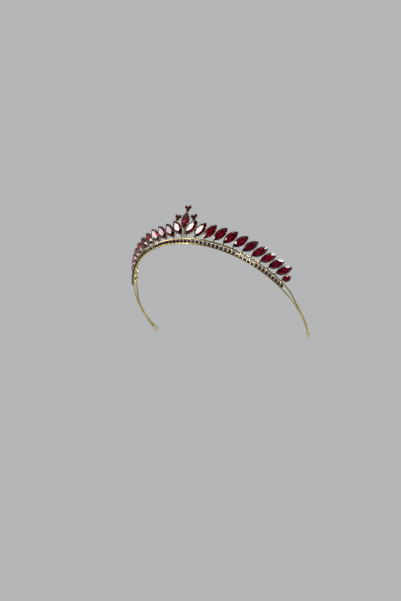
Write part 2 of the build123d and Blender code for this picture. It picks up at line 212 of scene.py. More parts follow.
class CrownStage(PropertyGroup):
    """Camera, lamps, floor and backdrop."""
    view_turn: angle("View turn", "Turn of the camera round the crown", 30.0)
    view_rise: angle("View rise", "Camera above the level of the crown", 2.5)
    tilt: angle("Tilt", "Backward lean of the crown as the camera sees it", 44.0)
    distance: length("Distance", "From the camera to the centre front", 793.0 * MM)
    aside: length("Aside", "Camera to the right of the centre front", 16.5 * MM)
    below: length("Below", "Camera below the centre front", 48.0 * MM)
    lens: FloatProperty(name="Lens", description="Focal length for a 36 mm long side",
                        default=56.07, min=1.0, unit="CAMERA")
    floor: colour("Floor", "Colour of the floor", (0.56, 0.565, 0.57))
    backdrop: colour("Backdrop", "Colour behind the crown and of the light from all round",
                     (0.46, 0.465, 0.47))
    window: FloatProperty(name="Window", description="Radiance of the lamp in front", default=16.0,
                          min=0.0)
    doorway: FloatProperty(name="Doorway", description="Radiance of the lamp at the side",
                           default=9.0, min=0.0)
    ceiling: FloatProperty(name="Ceiling", description="Radiance of the lamp overhead",
                           default=15.0, min=0.0)


# Band line

def band(arc):
    """Plan place and heading of the band line: a front arc, then a wider side arc that goes on
    from it in the same direction. Negative arc lengths are the left half."""
    size = bpy.context.scene.crown_band
    arc = np.asarray(arc, float)
    front, reach = size.front_angle, size.front_radius * size.front_angle
    inner = np.minimum(np.abs(arc), reach) / size.front_radius
    turn = inner + np.maximum(np.abs(arc) - reach, 0.0) / size.side_radius
    x = size.front_radius * np.sin(inner) + size.side_radius * (np.sin(turn) - np.sin(inner))
    y = size.front_radius * (1 - np.cos(inner)) + size.side_radius * (np.cos(inner) - np.cos(turn))
    side = np.where(arc < 0, -1.0, 1.0)
    front_y = WIRE_LOW[1] + size.lower_wire / 2
    return x * side, y + front_y, turn * side


def band_directions(arc):
    """Unit vectors along the band line and outwards from it."""
    turn = band(arc)[2]
    flat = np.zeros_like(turn)
    along = np.stack((np.cos(turn), np.sin(turn), flat), axis=-1)
    outwards = np.stack((np.sin(turn), -np.cos(turn), flat), axis=-1)
    return along, outwards


def beside_band(arc, out, height):
    """Points at a distance outwards from the band line and at a height above the table."""
    x, y, _ = band(arc)
    z = np.broadcast_to(height, np.shape(x))
    return np.stack((x, y, z), axis=-1) + band_directions(arc)[1] * np.asarray(out)[..., None]


def arc_at(turn):
    """Arc length at which the band line has turned by an angle."""
    size = bpy.context.scene.crown_band
    front = min(turn, size.front_angle)
    return front * size.front_radius + (turn - front) * size.side_radius


def band_end():
    """Arc length of the wires' cut ends."""
    size = bpy.context.scene.crown_band
    return arc_at(size.front_angle + size.side_angle) - size.eye_wire


# Surfaces

class Surface:
    """Vertices and faces of surfaces, with a material number and a tone for each face; on stones
    the tone is the facet's painted brightness.
    """

    def __init__(self, vertices, faces, material=0, tone=0.5):
        self.vertices = np.asarray(vertices, float).reshape(-1, 3)
        self.faces = faces
        self.material = [material] * len(faces)
        self.tone = list(np.broadcast_to(tone, len(faces)))

    def moved(self, axes, origin):
        """The same surface with its X, Y and Z along three axes, about an origin."""
        return self.like(self.vertices @ np.asarray(axes) + np.asarray(origin))

    def like(self, vertices):
        """A surface with the same faces on other vertices."""
        other = Surface(vertices, self.faces)
        other.material, other.tone = self.material, self.tone
        return other


def joined(surfaces):
    """Several surfaces as one."""
    whole = Surface(np.concatenate([s.vertices for s in surfaces]), [])
    offset = 0
    for surface in surfaces:
        whole.faces += [[corner + offset for corner in face] for face in surface.faces]
        whole.material += surface.material
        whole.tone += surface.tone
        offset += len(surface.vertices)
    return whole


def grid_faces(rows, columns, wrap_rows=False):
    """Four-cornered faces of a grid that is closed along its columns, and if asked, its rows."""
    row, column = np.meshgrid(np.arange(rows if wrap_rows else rows - 1), np.arange(columns),
                              indexing="ij")
    below, beside = (row + 1) % rows, (column + 1) % columns
    corners = (row * columns + column, row * columns + beside, below * columns + beside,
               below * columns + column)
    return np.stack(corners, axis=-1).reshape(-1, 4).tolist()


def skin(rings, wrap=False):
    """A surface through rings of points. Its ends are closed with flat faces unless the last
    ring joins the first."""
    count, around = rings.shape[:2]
    faces = grid_faces(count, around, wrap)
    if not wrap:
        faces += [list(range(around))[::-1], list(range((count - 1) * around, count * around))]
    return Surface(rings, faces)


def tube(path, side, radii, around=12, flatness=1.0):
    """A round or oval section carried along a path: each point is the path's point plus its
    radius times the cosine along the side direction and the sine across it."""
    path = np.asarray(path, float)
    heading = np.gradient(path, axis=0)
    heading /= np.linalg.norm(heading, axis=1, keepdims=True)
    side = np.broadcast_to(side, path.shape)
    side = side - heading * np.sum(side * heading, axis=1, keepdims=True)
    side = side / np.linalg.norm(side, axis=1, keepdims=True)
    across = np.cross(heading, side)
    radii = np.broadcast_to(radii, len(path))[:, None, None]
    turn = np.linspace(0, 2 * pi, around, endpoint=False)[None, :, None]
    return skin(path[:, None] + radii * (np.cos(turn) * side[:, None]
                                         + np.sin(turn) * across[:, None] * flatness))


def soldered_rod(start, end, diameter, solder, steps=12, around=10):
    """A straight wire whose radius grows at both ends, by the solder's reach times a falling
    exponential of the distance from that end."""
    start, end = np.asarray(start, float), np.asarray(end, float)
    span = end - start
    reach = np.linalg.norm(span)
    place = (1 - np.cos(np.linspace(0, pi, steps))) / 2
    path = start + place[:, None] * span
    near = np.minimum(place, 1 - place) * reach
    radii = diameter / 2 + solder * 0.5 * np.exp(-near / (solder * 0.5))
    side = np.cross(span, UP if abs(span[2]) < 0.9 * reach else (1.0, 0.0, 0.0))
    return tube(path, side, radii, around)


def revolved(profile, around=12):
    """A profile of radius and height turned about the Z axis."""
    profile = np.asarray(profile, float)
    turn = np.linspace(0, 2 * pi, around, endpoint=False)
    rings = np.stack((profile[:, :1] * np.cos(turn), profile[:, :1] * np.sin(turn),
                      np.broadcast_to(profile[:, 1:], (len(profile), around))), axis=-1)
    return skin(rings)


def navette_radius(long, wide):
    """Radius of a navette's long sides: the sum of its sizes squared over four times its width."""
    return (long ** 2 + wide ** 2) / (4 * wide)


def outline(shape, long, wide, grow, count):
    """Points round a navette or an oval, from its foot and up its right side. A navette is two
    equal arcs, and growing it adds to their radius about the same centres."""
    step = np.arange(count // 2) / (count // 2)
    if shape == "oval":
        turn = np.concatenate((step, step + 1)) * pi - QUARTER
        across, along = wide / 2 + grow, long / 2 + grow
        return np.stack((across * np.cos(turn), along * np.sin(turn)), axis=-1)
    centre = navette_radius(long, wide) - wide / 2
    radius = navette_radius(long, wide) + grow
    turn = (2 * step - 1) * acos(centre / radius)
    right = np.stack((radius * np.cos(turn) - centre, radius * np.sin(turn)), axis=-1)
    return np.concatenate((right, -right))


def turned(turn):
    """Axes turned about Z by an angle."""
    return ((cos(turn), sin(turn), 0.0), (-sin(turn), cos(turn), 0.0), (0.0, 0.0, 1.0))


def lifted(points, height):
    """Plane points at a height, which may be one number or one for each point."""
    return np.concatenate((points, np.broadcast_to(height, len(points))[:, None]), axis=1)


# Placing

class Seat:
    """Frame of a large stone, read from its CAD solid. Its table is the widest flat face, which
    gives the face direction; the table's longest line runs from foot to tip."""

    def __init__(self, node):
        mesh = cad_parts[node].data
        points = np.array([vertex.co for vertex in mesh.vertices], float)
        normals = np.array([face.normal for face in mesh.polygons], float)
        areas = np.array([face.area for face in mesh.polygons])
        corners = np.array([face.vertices for face in mesh.polygons])
        same = normals @ normals.T > SAME_FACE
        widest = np.argmax(same @ areas)
        self.face = normals[widest]
        table = points[np.unique(corners[same[widest]])]
        spread = table[:, None] - table[None]
        first, last = np.unravel_index(np.argmax(np.linalg.norm(spread, axis=2)), spread.shape[:2])
        along = table[last] - table[first]
        self.along = along / np.linalg.norm(along) * np.sign(along[2])
        self.across = np.cross(self.along, self.face)
        self.axes = np.stack((self.across, self.along, self.face))
        local = points @ self.axes.T
        low, high = local.min(axis=0), local.max(axis=0)
        self.wide, self.long = high[0] - low[0], high[1] - low[1]
        stones = bpy.context.scene.crown_stones
        middle = (low + high) / 2
        middle[2] = high[2] - stones.crown - stones.girdle
        self.origin = middle @ self.axes
        self.shape = "oval" if self.long < NAVETTE_LEAST * self.wide else "navette"

    def place(self, surface):
        return surface.moved(self.axes, self.origin)

    def point(self, x, y, z):
        return self.origin + np.array((x, y, z)) @ self.axes


# Pieces

def add_piece(name, surface, materials, replaced, smooth=True):
    """Makes the surface an object that rides on the crown and stands for CAD nodes."""
    mesh = bpy.data.meshes.new(name)
    mesh.from_pydata(surface.vertices.tolist(), [], surface.faces)
    mesh.polygons.foreach_set("material_index", np.asarray(surface.material, np.int32))
    # Each face's tone: the painted brightness of a facet, which the stone materials read.
    tone = mesh.attributes.new("tone", "FLOAT", "FACE")
    tone.data.foreach_set("value", np.asarray(surface.tone, np.float32))
    whole = bmesh.new()
    whole.from_mesh(mesh)
    bmesh.ops.remove_doubles(whole, verts=whole.verts, dist=1e-7)
    bmesh.ops.recalc_face_normals(whole, faces=whole.faces)
    whole.to_mesh(mesh)
    whole.free()
    mesh.polygons.foreach_set("use_smooth", np.full(len(mesh.polygons), smooth))
    if smooth:
        mesh.set_sharp_from_angle(angle=radians(CREASE))
    for material in materials:
        mesh.materials.append(material)
    piece = bpy.data.objects.new(name, mesh)
    bpy.context.scene.collection.objects.link(piece)
    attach(piece, "root")
    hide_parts(*replaced)


# Materials

def new_material(name):
    """A node material, its nodes and links, and its shader."""
    material = bpy.data.materials.new(name)
    material.use_nodes = True
    nodes, links = material.node_tree.nodes, material.node_tree.links
    return material, nodes, links, nodes["Principled BSDF"]


def noise(nodes, links, scale, detail=3.0):
    """Noise over the object's own coordinates."""
    place = nodes.new("ShaderNodeTexCoord")
    texture = nodes.new("ShaderNodeTexNoise")
    texture.inputs["Scale"].default_value = scale
    texture.inputs["Detail"].default_value = detail
    links.new(place.outputs["Object"], texture.inputs["Vector"])
    return texture.outputs["Fac"]


def mapped(nodes, links, value, low, high):
    """A noise value, whose middle range is stretched to run from the low number to the high."""
    change = nodes.new("ShaderNodeMapRange")
    ends = {"From Min": 0.3, "From Max": 0.7, "To Min": low, "To Max": high}
    for socket, number in ends.items():
        change.inputs[socket].default_value = number
    links.new(value, change.inputs["Value"])
    return change.outputs["Result"]


def mixed(nodes, links, factor, first, second):
    """A colour between two, by a factor."""
    mix = nodes.new("ShaderNodeMix")
    mix.data_type = "RGBA"
    mix.inputs["A"].default_value = (*first, 1)
    mix.inputs["B"].default_value = (*second, 1)
    links.new(factor, mix.inputs["Factor"])
    return mix.outputs["Result"]


def gold(name, roughness, wear_scale, shade):
    """Polished plate: two tones of gold in cloudy patches, uneven gloss and fine polishing marks.
    The shade darkens both tones: painted shade, for settings and cups that sit in shadow between
    the stones."""
    finish = bpy.context.scene.crown_finish
    material, nodes, links, shader = new_material(name)
    shader.inputs["Metallic"].default_value = 1.0
    cloud = noise(nodes, links, wear_scale)
    tone = mapped(nodes, links, cloud, 0.0, 1.0)
    light = [channel * shade for channel in finish.gold_light]
    dark = [channel * shade for channel in finish.gold_dark]
    links.new(mixed(nodes, links, tone, light, dark), shader.inputs["Base Color"])
    gloss = mapped(nodes, links, cloud, roughness * 0.7, roughness * 1.4)
    links.new(gloss, shader.inputs["Roughness"])
    marks = nodes.new("ShaderNodeBump")
    marks.inputs["Strength"].default_value = 0.15
    marks.inputs["Distance"].default_value = 0.02 * MM
    links.new(noise(nodes, links, wear_scale * 12, 5.0), marks.inputs["Height"])
    links.new(marks.outputs["Normal"], shader.inputs["Normal"])
    return material


def facet_painted_light_and_swirls(nodes, links, swirl_scale, swirl):
    """Painted light of each facet: its tone from the mesh, with faint swirls."""
    tone = nodes.new("ShaderNodeAttribute")
    tone.attribute_name = "tone"
    total = nodes.new("ShaderNodeMath")
    total.use_clamp = True
    links.new(tone.outputs["Fac"], total.inputs[0])
    swirls = noise(nodes, links, swirl_scale, 1.0)
    links.new(mapped(nodes, links, swirls, -swirl, swirl), total.inputs[1])
    return total.outputs["Value"]


def garnet(name, depth):
    """Clear deep red glass with painted light: a lit and a shaded red, mixed facet by facet by
    painted brightness, and in faint swirls.
    """
    finish = bpy.context.scene.crown_finish
    material, nodes, links, shader = new_material(name)
    shader.inputs["Transmission Weight"].default_value = 0.9
    shader.inputs["IOR"].default_value = 1.58
    shader.inputs["Roughness"].default_value = 0.01
    light = [channel * depth for channel in finish.glass_painted_lit]
    dark = [channel * depth for channel in finish.glass_painted_shade]
    tone = facet_painted_light_and_swirls(nodes, links, 220.0, 0.15)
    links.new(mixed(nodes, links, tone, dark, light), shader.inputs["Base Color"])
    return material


def foil(name):
    """Mirror foil on the backs of the stones, with painted light: some facets painted bright,
    others painted near black.
    """
    finish = bpy.context.scene.crown_finish
    material, nodes, links, shader = new_material(name)
    shader.inputs["Metallic"].default_value = 1.0
    shader.inputs["Roughness"].default_value = 0.12
    tone = facet_painted_light_and_swirls(nodes, links, 900.0, 0.1)
    colours = mixed(nodes, links, tone, finish.foil_painted_dark, finish.foil_light)
    links.new(colours, shader.inputs["Base Color"])
    return material


def material_named(name, make, *details):
    """The material with this name, made the first time it is asked for."""
    return bpy.data.materials.get(name) or make(name, *details)


def wire_gold():
    return material_named("wire_gold", gold, 0.22, 90.0, 1.0)


def setting_gold():
    # Settings carry painted shade: their gold is darkened to 0.6.
    return material_named("setting_gold", gold, 0.16, 260.0, 0.6)


def cup_gold_painted_shade():
    # Cups carry more painted shade: their gold is darkened to 0.4.
    return material_named("cup_gold_painted_shade", gold, 0.2, 260.0, 0.4)


def stone_materials(depth=1.0, name="garnet_glass"):
    return [material_named(name, garnet, depth), material_named("stone_foil", foil)]


# Stones

def cut_stone(shape, long, wide, heights, shares, corners, rng):
    """A brilliant cut on any outline, with its edge's foot at Z 0. Table corners lie on every
    other corner of the outline, drawn in by the table's share, and a ring of middle corners
    between them; stars, kites and halves join them. The pavilion repeats this down to a keel."""
    girdle, crown, pavilion = heights
    table, keel = shares
    rim = outline(shape, long, wide, 0.0, corners)
    even, odd = rim[::2], rim[1::2]
    half = corners // 2
    rings = np.concatenate((
        lifted(even * table, girdle + crown),
        lifted(odd * (1 - MIDDLE_RING * (1 - table)), girdle + crown * MIDDLE_RING),
        lifted(rim, girdle), lifted(rim, 0.0),
        lifted(odd * (1 + keel) / 2, -pavilion / 2), lifted(even * keel, -pavilion)))
    top, mid, edge, foot = 0, half, 2 * half, 4 * half
    low, tip = 6 * half, 7 * half
    here = np.arange(half)
    after, before = (here + 1) % half, (here - 1) % half
    rim_here, rim_next, rim_after = 2 * here, 2 * here + 1, (2 * here + 2) % corners

    def facets(*rows):
        return np.stack(rows, axis=-1).tolist()

    crown_facets = [list(range(half))]
    crown_facets += facets(top + here, top + after, mid + here)
    crown_facets += facets(top + here, mid + here, edge + rim_here, mid + before)
    crown_facets += facets(mid + here, edge + rim_here, edge + rim_next)
    crown_facets += facets(mid + here, edge + rim_next, edge + rim_after)
    each = np.arange(corners)
    crown_facets += facets(edge + each, edge + (each + 1) % corners, foot + (each + 1) % corners,
                           foot + each)
    back_facets = facets(tip + here, tip + after, low + here)
    back_facets += facets(tip + here, low + here, foot + rim_here, low + before)
    back_facets += facets(low + here, foot + rim_here, foot + rim_next)
    back_facets += facets(low + here, foot + rim_next, foot + rim_after)
    back_facets += [list(range(tip, tip + half))]
    stone = Surface(rings, crown_facets + back_facets)
    stone.material = [0] * len(crown_facets) + [1] * len(back_facets)
    # Painted light: each row of facets draws its painted brightness from its own range.
    ranges = ((TABLE_TONES, 1), (STAR_TONES, half), (KITE_TONES, half), (HALF_TONES, corners),
              (EDGE_TONES, corners), (BACK_TONES, 4 * half), (KEEL_TONES, 1))
    tones = np.concatenate([rng.uniform(*limits, count) for limits, count in ranges])
    stone.tone = np.clip(tones, 0.0, 1.0).tolist()
    return stone


def plain_stone(diameter, heights, shares, corners, rng):
    """A small round stone: table, one row of crown facets, edge, one row of back facets."""
    girdle, crown, pavilion = heights
    table, keel = shares
    rim = outline("oval", diameter, diameter, 0.0, corners)
    rings = np.stack((lifted(rim * keel, -pavilion), lifted(rim, 0.0), lifted(rim, girdle),
                      lifted(rim * table, girdle + crown)))
    stone = skin(rings)
    stone.material = [1] * corners + [0] * (2 * corners) + [1, 0]
    # Painted light: each facet of a small stone gets a random painted brightness.
    stone.tone = rng.uniform(*ROUND_TONES, len(stone.faces)).tolist()
    return stone


class CROWN_OT_large_stones(Operator):
    """Cuts the navettes of the fan and the motif and the two ovals"""
    bl_idname = "crown.large_stones"
    bl_label = "Large Stones"

    def execute(self, context):
        size = context.scene.crown_stones
        heights, shares = (size.girdle, size.crown, size.pavilion), (size.table, size.keel)
        for number, node in enumerate(LARGE_STONES):
            seat = Seat(node)
            rng = np.random.default_rng(number)
            stone = cut_stone(seat.shape, seat.long, seat.wide, heights, shares, size.corners, rng)
            add_piece(node.replace("stone", "garnet"), seat.place(stone), stone_materials(),
                      [node], smooth=False)
        return {"FINISHED"}


# Settings of the large stones

def half_length(seat, grow):
    """Half the length of the stone's outline grown by a distance: for a navette, the root of the
    grown radius squared less the centre's distance squared."""
    if seat.shape == "oval":
        return seat.long / 2 + grow
    radius = navette_radius(seat.long, seat.wide)
    return sqrt((radius + grow) ** 2 - (radius - seat.wide / 2) ** 2)


def seat_depth(seat):
    """How far behind the stone's edge its pavilion is narrow enough for the wall: the wall's inner
    distance times the pavilion's depth over its draw."""
    size, stones = bpy.context.scene.crown_settings, bpy.context.scene.crown_stones
    slope = stones.pavilion / (1 - stones.keel) / (seat.wide / 2)
    return (size.inset + size.wall + size.gap) * slope


def wall_out(seat, depth):
    """Outer surface of the wall, outwards from the stone's edge: its inset, and the tangent of the
    taper times the depth below the wall's top."""
    size = bpy.context.scene.crown_settings
    return -size.inset - (depth - seat_depth(seat)) * np.tan(size.taper)


def setting_wall(seat):
    """A wall under the stone's edge: a closed profile of inner and outer points with soft rims,
    each one an outline grown by its distance."""
    size = bpy.context.scene.crown_settings
    top, back = seat_depth(seat), size.depth
    soft, middle = size.wall / 4, (top + back) / 2
    profile = ((0, top + soft), (0, middle), (0, back - soft), (soft, back),
               (size.wall - soft, back), (size.wall, back - soft), (size.wall, middle),
               (size.wall, top + soft), (size.wall - soft, top), (soft, top))
    rings = []
    for inwards, depth in profile:
        out = wall_out(seat, depth) - inwards
        rings.append(lifted(outline(seat.shape, seat.long, seat.wide, out, WALL_POINTS), -depth))
    return skin(np.stack(rings), wrap=True)


def claw(seat):
    """A claw in the XZ plane, X outwards from the stone's edge: an oval section carried up the
    wall, round the edge by a quarter turn and in over the stone, with a rounded tip."""
    size, stones = bpy.context.scene.crown_settings, bpy.context.scene.crown_stones
    thick, clear = size.claw_thickness, 2 * size.gap
    bend = stones.girdle + clear
    slope = stones.crown / (1 - stones.table) / (seat.wide / 2)
    foot = wall_out(seat, size.claw_foot) + size.claw_proud - thick / 2
    rise = np.linspace(0, 1, 4)[:, None]
    stem_top = np.array((clear + thick / 2, 0.0))
    stem = np.array((foot, -size.claw_foot)) * (1 - rise) + stem_top * rise
    turn = np.linspace(0, QUARTER, 5)
    corner = np.stack((clear + thick / 2 * np.cos(turn), bend + thick / 2 * np.sin(turn)), axis=-1)
    run = np.linspace(0, 1, 6)[1:, None]
    tip = np.array((-size.claw_reach, bend + thick / 2 + (size.claw_reach + clear) * slope))
    path = np.concatenate((stem, corner, corner[-1] + (tip - corner[-1]) * run))
    path = np.stack((path[:, 0], np.zeros(len(path)), path[:, 1]), axis=-1)
    widths = np.full(len(path), size.claw_width / 2)
    widths[0] *= CLAW_FOOT_NARROW
    widths[-4:] *= CLAW_TIP_WIDTHS
    return tube(path, (0.0, 1.0, 0.0), widths, around=10, flatness=thick / size.claw_width)


def claws(seat):
    """Four claws at equal distances from the stone's tips, each facing out from the edge."""
    size = bpy.context.scene.crown_settings
    reach = seat.long * (0.5 - size.claw_share)
    if seat.shape == "navette":
        radius = navette_radius(seat.long, seat.wide)
        heading = atan2(reach, sqrt(radius ** 2 - reach ** 2))
        x = radius * cos(heading) - radius + seat.wide / 2
    else:
        x = seat.wide / 2 * sqrt(1 - (2 * reach / seat.long) ** 2)
        heading = atan2(reach / (seat.long / 2) ** 2, x / (seat.wide / 2) ** 2)
    unit = claw(seat)
    pieces = []
    for right, forward in ((1, 1), (1, -1), (-1, 1), (-1, -1)):
        turn = atan2(forward * sin(heading), right * cos(heading))
        pieces.append(unit.moved(turned(turn), (right * x, forward * reach, 0.0)))
    return pieces


def peg(seat):
    """A soldered wire from the nearest point of the upper wire to the foot of the wall."""
    size, wires = bpy.context.scene.crown_settings, bpy.context.scene.crown_band
    foot = half_length(seat, wall_out(seat, size.peg_depth) - size.wall)
    joint = seat.point(0.0, -foot, -size.peg_depth)
    arcs = np.linspace(-band_end(), band_end(), SEARCH_STEPS)
    axis = beside_band(arcs, np.zeros_like(arcs), wires.upper_height)
    nearest = axis[np.argmin(np.linalg.norm(axis - joint, axis=1))]
    heading = (joint - nearest) / np.linalg.norm(joint - nearest)
    start = nearest + heading * wires.upper_wire * PEG_SINK
    return soldered_rod(start, joint, size.peg_wire, wires.solder)


class CROWN_OT_large_settings(Operator):
    """Makes an open-backed claw setting with its peg round every large stone"""
    bl_idname = "crown.large_settings"
    bl_label = "Claw Settings"

    def execute(self, context):
        for node in LARGE_STONES:
            seat = Seat(node)
            casting = joined([setting_wall(seat)] + claws(seat))
            whole = joined([seat.place(casting), peg(seat)])
            setting = node.replace("stone", "setting")
            add_piece(setting.replace("setting", "claws"), whole, [setting_gold()], [setting])
        return {"FINISHED"}


# Small cups

def round_heights():
    """Edge, crown and pavilion of a small stone."""
    stones = bpy.context.scene.crown_stones
    return stones.round_girdle, stones.round_crown, stones.round_pavilion


def small_cup(diameter):
    """A turned cup with a cone inside and four bent claws; its back is at Z 0."""
    size, stones = bpy.context.scene.crown_settings, bpy.context.scene.crown_stones
    edge = diameter / 2
    outer = edge - size.cup_inset
    inner, clear = outer - size.cup_wall, edge + size.gap
    rim = size.cup_seat - (clear - inner) * stones.round_pavilion / (1 - stones.keel) / edge
    floor = size.cup_seat - stones.round_pavilion - size.gap
    cup = revolved(((outer * CUP_BACK, 0.0), (outer, rim * CUP_BEVEL), (outer, rim), (inner, rim),
                    (stones.keel * edge + size.gap, floor)), CUP_SIDES)
    hook = skin(cup_claw(outer - size.cup_wall / 2, clear, rim, edge))
    return joined([cup] + [hook.moved(turned((quarter + 0.5) * QUARTER), (0.0, 0.0, 0.0))
                           for quarter in range(4)])


def cup_claw(buried, clear, rim, edge):
    """Both sides of a cup's claw: up from inside the wall, over the stone's edge at the slope of
    its crown, and back down outside."""
    size, stones = bpy.context.scene.crown_settings, bpy.context.scene.crown_stones
    slope = stones.round_crown / (1 - stones.table) / edge
    top = size.cup_seat + stones.round_girdle + 2 * size.gap
    tip, tip_height = clear - size.small_reach, top + size.small_reach * slope
    foot, thick = rim - size.small_foot, size.cup_wall
    hook = np.array(((buried, foot), (buried, rim), (clear, top), (tip, tip_height),
                     (tip, tip_height + thick), (clear + thick / 2, top + thick * 0.8),
                     (clear + thick, top), (clear + thick, foot)))
    half = size.small_claw / 2
    return np.stack([np.stack((hook[:, 0], np.full(len(hook), y), hook[:, 1]), axis=-1)
                     for y in (-half, half)])


def chain_places():
    """Axes and origin of every cup of the chain: X along the band, Y up, Z outwards."""
    size, wires = bpy.context.scene.crown_settings, bpy.context.scene.crown_band
    stones = bpy.context.scene.crown_stones
    arcs = np.arange(-size.chain_count, size.chain_count + 1) * size.chain_pitch
    height = size.chain_lift + stones.chain_stone / 2
    origins = beside_band(arcs, np.full(len(arcs), wires.lower_wire / 2), height)
    along, outwards = band_directions(arcs)
    up = np.broadcast_to(UP, along.shape)
    return np.stack((along, up, outwards), axis=1), origins


class CROWN_OT_cup_chain(Operator):
    """Makes the chain of small cups, its links and its stones along the lower wire"""
    bl_idname = "crown.cup_chain"
    bl_label = "Cup Chain"

    def execute(self, context):
        size, stones = context.scene.crown_settings, context.scene.crown_stones
        cup = small_cup(stones.chain_stone)
        shares = (stones.table, stones.keel)
        rng = np.random.default_rng(7)
        cups, gems = [], []
        places = list(zip(*chain_places()))
        for axes, origin in places:
            cups.append(cup.moved(axes, origin))
            stone = plain_stone(stones.chain_stone, round_heights(), shares, CHAIN_CORNERS, rng)
            gems.append(stone.moved(axes, origin + axes[2] * size.cup_seat))
        for (first_axes, first), (_, second) in zip(places, places[1:]):
            lift = first_axes[2] * size.link_wire / 2
            link = np.linspace(first + lift, second + lift, 4)
            cups.append(tube(link, UP, size.link_wire / 2, 6))
        add_piece("cup_chain", joined(cups), [cup_gold_painted_shade()], ["chain_cups"])
        add_piece("chain_garnets", joined(gems), stone_materials(0.3, "chain_garnet_glass"),
                  ["chain_stones"], smooth=False)
        return {"FINISHED"}


# Trefoils

def trefoil_places():
    """Axes and origin of the top trefoil and of the two side ones: backs of their cups."""
    size, stones = bpy.context.scene.crown_settings, bpy.context.scene.crown_stones
    seat = Seat("stone_centre")
    rise = (seat.long + stones.trefoil_stone) / 2 + size.gap + size.trefoil_radius
    places = [(seat.axes, seat.point(0.0, rise, -size.cup_seat))]
    front_y = WIRE_LOW[1] + bpy.context.scene.crown_band.lower_wire / 2
    for side in (1, -1):
        turn = size.trefoil_turn * side
        across = seat.across * cos(turn) + seat.along * sin(turn)
        along = seat.along * cos(turn) - seat.across * sin(turn)
        origin = np.array((side * size.trefoil_right, front_y - size.trefoil_out, size.trefoil_up))
        places.append((np.stack((across, along, seat.face)), origin))
    return places


def on_trefoil(unit, lift):
    """Three copies of a unit round a trefoil's middle: two side by side above the third."""
    size = bpy.context.scene.crown_settings
    copies = []
    for turn in np.radians((30, 150, 270)):
        place = (size.trefoil_radius * cos(turn), size.trefoil_radius * sin(turn), lift)
        copies.append(unit.moved(turned(turn), place))
    return joined(copies)


class CROWN_OT_trefoils(Operator):
    """Makes the three trefoils of round stones in claw cups"""
    bl_idname = "crown.trefoils"
    bl_label = "Trefoils"

    def execute(self, context):
        size, stones = context.scene.crown_settings, context.scene.crown_stones
        shares = (stones.table, stones.keel)
        edge = size.trefoil_radius
        hub = revolved(((edge, 0.0), (edge, size.cup_wall)), HUB_SIDES)
        cups = joined([hub, on_trefoil(small_cup(stones.trefoil_stone), 0.0)])
        rng = np.random.default_rng(3)
        metal, gems = [], []
        for axes, origin in trefoil_places():
            stone = cut_stone("oval", stones.trefoil_stone, stones.trefoil_stone, round_heights(),
                              shares, TREFOIL_CORNERS, rng)
            metal.append(cups.moved(axes, origin))
            gems.append(on_trefoil(stone, size.cup_seat).moved(axes, origin))
        add_piece("trefoil_castings", joined(metal), [cup_gold_painted_shade()], ["trefoil_cups"])
        add_piece("trefoil_garnets", joined(gems), stone_materials(0.5, "trefoil_garnet_glass"),
                  ["trefoil_stones"], smooth=False)
        return {"FINISHED"}


# Band

def upper_wire_height(arc):
    """Height of the upper wire's axis: level, then down by two equal arcs that meet half way. Each
    leaves its level by its radius less the root of the radius squared less the distance squared."""
    size = bpy.context.scene.crown_band
    start, end = arc_at(size.drop_start), arc_at(size.drop_end)
    half_run = (end - start) / 2
    half_drop = (size.upper_height - size.lower_wire - size.upper_wire / 2) / 2
    radius = (half_run ** 2 + half_drop ** 2) / (2 * half_drop)
    along = np.clip(np.abs(arc) - start, 0.0, end - start)
    near = np.minimum(along, 2 * half_run - along)
    leave = radius - np.sqrt(radius ** 2 - near ** 2)
    return size.upper_height - np.where(along < half_run, leave, 2 * half_drop - leave)


def band_wire(heights, diameter):
    """A round wire along the band line from one cut end to the other, at given heights."""
    arcs = np.linspace(-band_end(), band_end(), BAND_STEPS)
    path = beside_band(arcs, np.zeros_like(arcs), heights(arcs))
    return tube(path, band_directions(arcs)[1], diameter / 2, BAND_SIDES)


class CROWN_OT_band(Operator):
    """Makes the two band wires"""
    bl_idname = "crown.band"
    bl_label = "Band Wires"

    def execute(self, context):
        size = context.scene.crown_band
        lower = band_wire(lambda arcs: np.full_like(arcs, size.lower_wire / 2), size.lower_wire)
        add_piece("lower_wire", lower, [wire_gold()], ["lower_band_wire"])
        upper = band_wire(upper_wire_height, size.upper_wire)
        add_piece("upper_wire", upper, [wire_gold()], ["upper_band_wire"])
        return {"FINISHED"}


class CROWN_OT_fittings(Operator):
    """Finishes the posts and the end eyes"""
    bl_idname = "crown.fittings"
    bl_label = "Posts and Eyes"

    def execute(self, context):
        for node in ("band_posts", "end_eye_left", "end_eye_right"):
            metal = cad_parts[node]
            metal.data.materials.clear()
            metal.data.materials.append(wire_gold())
        return {"FINISHED"}


# Stage

def camera_axes():
    """Right, up and back directions of the camera in the crown's frame: a turn about the upright
    and a rise, then the crown's tilt about X."""
    stage = bpy.context.scene.crown_stage
    return (Matrix.Rotation(stage.tilt, 3, "X") @ Matrix.Rotation(stage.view_turn, 3, "Z")
            @ Matrix.Rotation(QUARTER - stage.view_rise, 3, "X"))


def stage_heading(left, rise):
    """Direction at an angle left of the camera and a rise above it, as seen from the crown."""
    right, up, back = camera_axes().col
    return back * cos(rise) * cos(left) - right * cos(rise) * sin(left) + up * sin(rise)


def front_middle():
    """Middle of the crown's front half."""
    return Vector((0.0, WIRE_LOW[1] / 2, 0.01))


def add_camera():
    """A camera that looks at the crown's front, moved aside and down as the framing needs."""
    stage = bpy.context.scene.crown_stage
    view = camera_axes()
    right, up, back = view.col
    front = Vector((0.0, WIRE_LOW[1] + bpy.context.scene.crown_band.lower_wire / 2, 0.0))
    place = front + back * stage.distance + right * stage.aside - up * stage.below
    camera = bpy.data.cameras.new("camera")
    camera.lens = stage.lens
    camera.clip_start = 0.01
    holder = bpy.data.objects.new("camera", camera)
    holder.matrix_world = Matrix.Translation(place) @ view.to_4x4()
    bpy.context.scene.collection.objects.link(holder)
    bpy.context.scene.camera = holder


